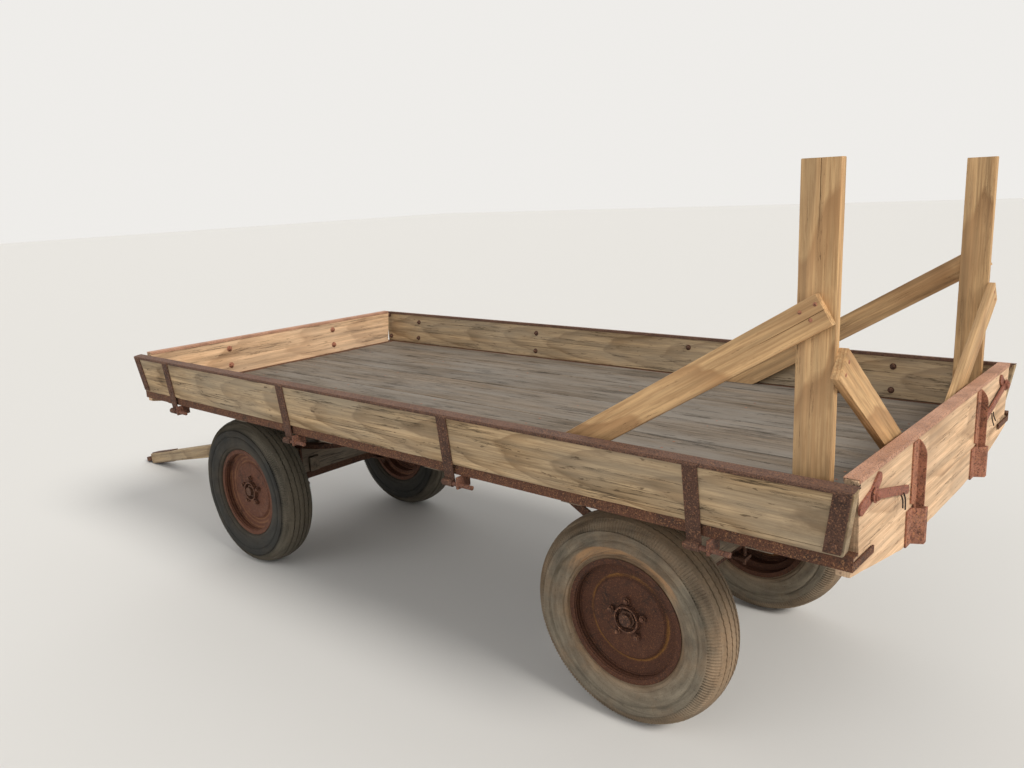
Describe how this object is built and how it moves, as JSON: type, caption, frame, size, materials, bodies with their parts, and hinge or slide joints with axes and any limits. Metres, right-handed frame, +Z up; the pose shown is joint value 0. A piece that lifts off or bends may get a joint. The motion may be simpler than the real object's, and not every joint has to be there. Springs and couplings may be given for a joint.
{
  "type": "hay wagon",
  "caption": "Flatbed farm hay wagon with low drop sides, lift-out end boards, rear uprights with braces, turntable front carriage and a hinged drawbar with a towing eye.",
  "frame": {"origin": "on the ground, under the middle of the whole wagon's box with the drawbar's eye on the ground", "axes": "+X forwards to the drawbar, +Y to the wagon's left, +Z up"},
  "size_m": [5.5436, 1.755, 1.9102],
  "materials": {
    "deck_wood": "weathered, grey",
    "board_wood": "weathered softwood",
    "new_pine": "fresh sawn pine",
    "rusty_steel": "heavy brown rust",
    "axle_steel": "rusty, oily",
    "tyre": "worn, dusty",
    "rim_rust": "rusty red-brown paint",
    "hub_iron": "rusty"
  },
  "bodies": {
    "wagon": {"deck_frame": "rusty_steel", "deck_planks": "deck_wood", "cross_beams": "deck_wood", "sills": "deck_wood", "tail_plank": "board_wood", "head_plank": "board_wood", "tail_pockets": "rusty_steel", "head_pockets": "rusty_steel", "hinge_pins_left": "rusty_steel", "hinge_pins_right": "rusty_steel", "post_left": "new_pine", "post_right": "new_pine", "braces_left": "new_pine", "braces_right": "new_pine", "rear_axle": "axle_steel", "rear_axle_bed": "deck_wood", "rear_bolster": "deck_wood", "front_bolster": "deck_wood", "turntable_upper": "rusty_steel", "kingpin": "axle_steel", "rear_clamps": "rusty_steel", "rear_stays": "rusty_steel"},
    "front_carriage": {"front_axle": "axle_steel", "front_axle_bed": "deck_wood", "turntable_lower": "rusty_steel", "hounds": "deck_wood", "pole_staple": "rusty_steel", "front_clamps": "rusty_steel"},
    "drawbar": {"pole": "deck_wood", "pole_eye": "rusty_steel"},
    "side_left": {"side_board_left": "board_wood", "side_iron_left": "rusty_steel"},
    "side_right": {"side_board_right": "board_wood", "side_iron_right": "rusty_steel"},
    "tailgate": {"tail_board": "board_wood", "tail_cap": "rusty_steel", "tail_stakes": "rusty_steel", "tail_latches": "rusty_steel"},
    "headboard": {"head_board": "board_wood", "head_cap": "rusty_steel", "head_stakes": "rusty_steel"},
    "wheel_front_left": {"tyre_front_left": "tyre", "rim_front_left": "rim_rust", "hub_front_left": "hub_iron"},
    "wheel_front_right": {"tyre_front_right": "tyre", "rim_front_right": "rim_rust", "hub_front_right": "hub_iron"},
    "wheel_rear_left": {"tyre_rear_left": "tyre", "rim_rear_left": "rim_rust", "hub_rear_left": "hub_iron"},
    "wheel_rear_right": {"tyre_rear_right": "tyre", "rim_rear_right": "rim_rust", "hub_rear_right": "hub_iron"}
  },
  "joints": [
    {"name": "front_steer", "type": "hinge", "parent": "wagon", "child": "front_carriage", "pos_m": [0.45822, 0, 0.572], "axis": [0, 0, 1], "range_deg": [-60, 60]},
    {"name": "drawbar_pitch", "type": "hinge", "parent": "front_carriage", "child": "drawbar", "pos_m": [0.87822, 0, 0.451], "axis": [0, -1, 0], "range_deg": [0, 21]},
    {"name": "spin_front_left", "type": "hinge", "parent": "front_carriage", "child": "wheel_front_left", "pos_m": [0.45822, 0.52, 0.386], "axis": [0, 1, 0], "continuous": true},
    {"name": "spin_front_right", "type": "hinge", "parent": "front_carriage", "child": "wheel_front_right", "pos_m": [0.45822, -0.52, 0.386], "axis": [0, 1, 0], "continuous": true},
    {"name": "spin_rear_left", "type": "hinge", "parent": "wagon", "child": "wheel_rear_left", "pos_m": [-1.88678, 0.52, 0.386], "axis": [0, 1, 0], "continuous": true},
    {"name": "spin_rear_right", "type": "hinge", "parent": "wagon", "child": "wheel_rear_right", "pos_m": [-1.88678, -0.52, 0.386], "axis": [0, 1, 0], "continuous": true},
    {"name": "side_left_drop", "type": "hinge", "parent": "wagon", "child": "side_left", "pos_m": [0, 0.854, 0.868], "axis": [-1, 0, 0], "range_deg": [0, 173]},
    {"name": "side_right_drop", "type": "hinge", "parent": "wagon", "child": "side_right", "pos_m": [0, -0.854, 0.868], "axis": [1, 0, 0], "range_deg": [0, 173]},
    {"name": "tailgate_lift", "type": "slide", "parent": "wagon", "child": "tailgate", "axis": [0, 0, 1], "range_m": [0, 0.16]},
    {"name": "headboard_lift", "type": "slide", "parent": "wagon", "child": "headboard", "axis": [0, 0, 1], "range_m": [0, 0.16]}
  ]
}
